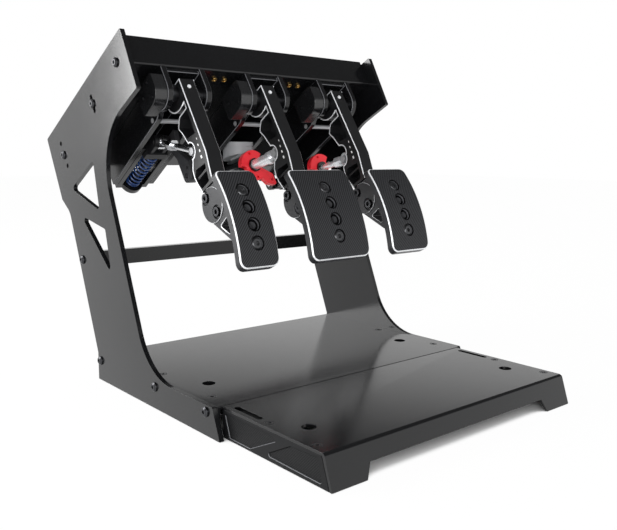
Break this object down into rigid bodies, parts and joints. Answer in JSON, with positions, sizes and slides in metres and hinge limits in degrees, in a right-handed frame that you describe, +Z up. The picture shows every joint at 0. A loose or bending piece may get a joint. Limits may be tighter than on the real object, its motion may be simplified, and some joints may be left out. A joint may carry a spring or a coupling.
{
  "type": "sim racing pedal set",
  "caption": "Hanging sim racing pedals: clutch, brake and throttle with curved drilled pads, linkages and dampers under a sloping deck, on a floor stand with side plates and a heel tray.",
  "frame": {"origin": "on the floor below the middle of the set's bounding box", "axes": "+Z up, +X to the driver's right, +Y away from the driver"},
  "size_m": [0.4298, 0.6118, 0.4533],
  "materials": {
    "black_coat": "satin powder coat",
    "bright_steel": "bright",
    "red_aluminium": "anodised",
    "blue_spring": "gloss",
    "grey_plastic": "satin",
    "satin_aluminium": "satin",
    "black_plastic": "fine grain",
    "pad_face": "dark anodised with a fine diagonal weave",
    "dark_aluminium": "dark anodised with bright edges"
  },
  "bodies": {
    "stand": {"left_side_plate": "black_coat", "right_side_plate": "black_coat", "cross_bar": "black_coat", "base_plate": "black_coat", "heel_plate": "black_coat", "left_heel_cover": "black_plastic", "right_heel_cover": "black_plastic", "floor_rails": "black_coat", "side_screws": "bright_steel", "floor_screws": "bright_steel", "deck_tray": "black_coat", "deck_bolts": "bright_steel", "deck_inserts": "bright_steel", "pivot_spacers": "bright_steel", "tie_bars": "bright_steel", "rear_pins": "bright_steel", "clutch_frame": "black_coat", "clutch_axle": "bright_steel", "clutch_sensor": "black_plastic", "clutch_spring": "blue_spring", "clutch_cradle": "black_coat", "clutch_hanger": "satin_aluminium", "brake_frame": "black_coat", "brake_axle": "bright_steel", "brake_sensor": "black_plastic", "brake_clevis": "black_coat", "throttle_frame": "black_coat", "throttle_axle": "bright_steel", "throttle_sensor": "black_plastic", "throttle_clevis": "black_coat"},
    "clutch_pedal": {"clutch_arm": "dark_aluminium", "clutch_pad_bracket": "dark_aluminium", "clutch_bracket_screws": "bright_steel", "clutch_pad": "pad_face", "clutch_pad_screws": "bright_steel", "clutch_pin_bolt": "bright_steel"},
    "brake_pedal": {"brake_arm": "dark_aluminium", "brake_pad_bracket": "dark_aluminium", "brake_bracket_screws": "bright_steel", "brake_pad": "pad_face", "brake_pad_screws": "bright_steel", "brake_pin_bolt": "bright_steel"},
    "throttle_pedal": {"throttle_arm": "dark_aluminium", "throttle_pad_bracket": "dark_aluminium", "throttle_bracket_screws": "bright_steel", "throttle_pad": "pad_face", "throttle_pad_screws": "bright_steel", "throttle_pin_bolt": "bright_steel"},
    "clutch_link": {"clutch_rod": "bright_steel"},
    "clutch_slider": {"clutch_slider": "dark_aluminium"},
    "brake_damper": {"brake_damper": "black_coat", "brake_reservoir": "grey_plastic"},
    "brake_ram": {"brake_rod": "bright_steel"},
    "brake_wheel": {"brake_wheel": "red_aluminium"},
    "throttle_damper": {"throttle_damper": "black_coat"},
    "throttle_ram": {"throttle_rod": "bright_steel"},
    "throttle_wheel": {"throttle_wheel": "red_aluminium"}
  },
  "joints": [
    {"name": "clutch_press", "type": "hinge", "parent": "stand", "child": "clutch_pedal", "pos_m": [-0.128, 0.0677, 0.37989], "axis": [1, 0, 0], "range_deg": [0, 16], "stiffness_Nm_per_rad": 45, "springref_deg": -6.88},
    {"name": "brake_press", "type": "hinge", "parent": "stand", "child": "brake_pedal", "pos_m": [0, 0.0677, 0.37989], "axis": [1, 0, 0], "range_deg": [0, 8], "stiffness_Nm_per_rad": 220, "springref_deg": -2.29},
    {"name": "throttle_press", "type": "hinge", "parent": "stand", "child": "throttle_pedal", "pos_m": [0.128, 0.0677, 0.37989], "axis": [1, 0, 0], "range_deg": [0, 16], "stiffness_Nm_per_rad": 18, "springref_deg": -11.46},
    {"name": "clutch_rod_swing", "type": "hinge", "parent": "clutch_pedal", "child": "clutch_link", "pos_m": [-0.128, 0.03125, 0.30861], "axis": [1, 0, 0], "range_deg": [-20.49, 0.5]},
    {"name": "clutch_slide", "type": "slide", "parent": "stand", "child": "clutch_slider", "axis": [0, 0.83, -0.5577], "range_m": [0, 0.02613], "deforming": ["clutch_spring"]},
    {"name": "brake_damper_swing", "type": "hinge", "parent": "stand", "child": "brake_damper", "pos_m": [0, 0.19955, 0.25696], "axis": [1, 0, 0], "range_deg": [-0.3, 0.79]},
    {"name": "brake_ram_slide", "type": "slide", "parent": "brake_damper", "child": "brake_ram", "axis": [0, 0.9594, -0.2822], "range_m": [0, 0.01156]},
    {"name": "brake_wheel_turn", "type": "hinge", "parent": "brake_damper", "child": "brake_wheel", "pos_m": [0, 0.08811, 0.28974], "axis": [0, 0.9594, -0.2822], "range_deg": [-45, 45]},
    {"name": "throttle_damper_swing", "type": "hinge", "parent": "stand", "child": "throttle_damper", "pos_m": [0.128, 0.19955, 0.25696], "axis": [1, 0, 0], "range_deg": [-0.3, 0.94]},
    {"name": "throttle_ram_slide", "type": "slide", "parent": "throttle_damper", "child": "throttle_ram", "axis": [0, 0.9698, -0.2438], "range_m": [0, 0.0248]},
    {"name": "throttle_wheel_turn", "type": "hinge", "parent": "throttle_damper", "child": "throttle_wheel", "pos_m": [0.128, 0.08871, 0.28483], "axis": [0, 0.9698, -0.2438], "range_deg": [-45, 45]}
  ],
  "couplings": [
    {"joint": "clutch_rod_swing", "follows": "clutch_press", "ratio": -1.2494},
    {"joint": "clutch_slide", "follows": "clutch_press", "m_per_rad": 0.092852},
    {"joint": "brake_damper_swing", "follows": "brake_press", "ratio": 0.06144},
    {"joint": "brake_ram_slide", "follows": "brake_press", "m_per_rad": 0.081356},
    {"joint": "throttle_damper_swing", "follows": "throttle_press", "ratio": 0.03989},
    {"joint": "throttle_ram_slide", "follows": "throttle_press", "m_per_rad": 0.088079}
  ]
}
